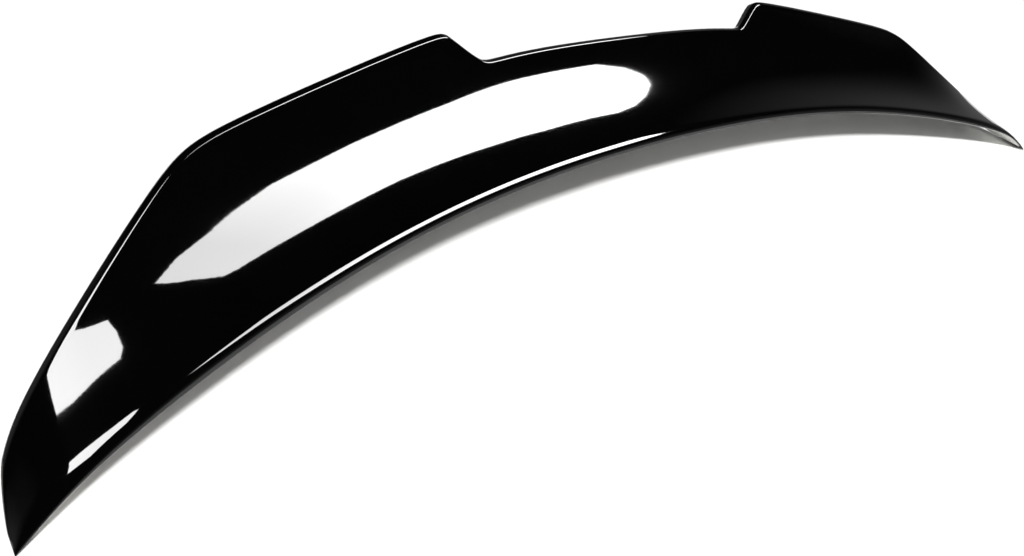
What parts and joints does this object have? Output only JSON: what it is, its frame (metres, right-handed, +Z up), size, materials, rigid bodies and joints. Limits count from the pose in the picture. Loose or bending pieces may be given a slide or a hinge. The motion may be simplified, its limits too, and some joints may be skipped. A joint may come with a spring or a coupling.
{
  "type": "car rear spoiler",
  "caption": "Gloss-black boot-lid spoiler: a hollow moulded shell with a hollowed ramp, a raised rear lip that dips in the middle, swept wings and rounded tips, bonded on with tape.",
  "frame": {"origin": "on the boot lid's skin, at the middle of the bottom face of the front tape", "axes": "+X across the car, to the right as seen from the front of the spoiler; +Y to the rear of the car; +Z up. Left and right in the node names are as seen from the front of the spoiler, looking along +Y."},
  "size_m": [1.2, 0.2449, 0.1264],
  "materials": {
    "painted_shell": "gloss black paint over moulded ABS",
    "foam_tape": "foam tape with a pale liner"
  },
  "bodies": {
    "root": {"spoiler_shell": "painted_shell", "front_tape": "foam_tape", "rear_tape": "foam_tape", "left_tip_tape": "foam_tape", "right_tip_tape": "foam_tape"}
  },
  "joints": []
}
